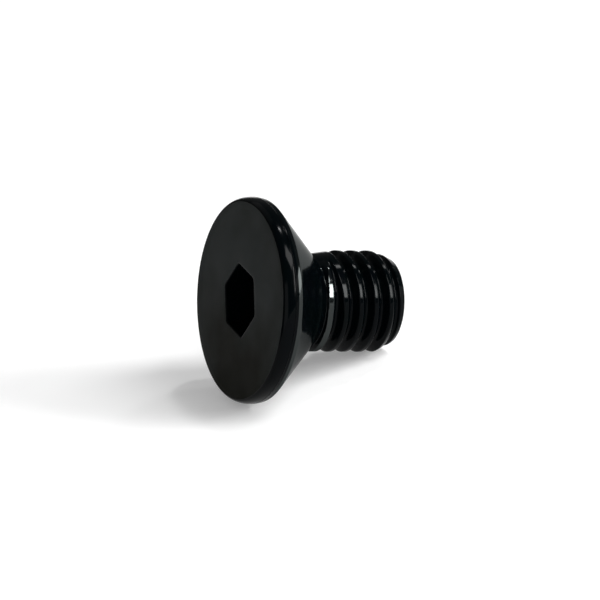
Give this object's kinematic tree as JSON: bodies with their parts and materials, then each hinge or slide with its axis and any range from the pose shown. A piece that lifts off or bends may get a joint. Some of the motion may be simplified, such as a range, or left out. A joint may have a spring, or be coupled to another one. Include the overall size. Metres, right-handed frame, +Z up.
{
  "type": "flat head screw",
  "caption": "Short countersunk machine screw with a flat head, a hexagon key socket and a full metric thread, in blackened steel, lying as it comes to rest.",
  "frame": {"origin": "centre of the base of the part's box, on the surface that it lies on", "axes": "+X from the head to the tip, seen from above; +Y across the head, along the widest size; +Z up"},
  "size_m": [0.0096, 0.0098, 0.0093],
  "materials": {
    "black_steel": "satin"
  },
  "bodies": {
    "root": {"flat_head_screw": "black_steel"}
  },
  "joints": []
}
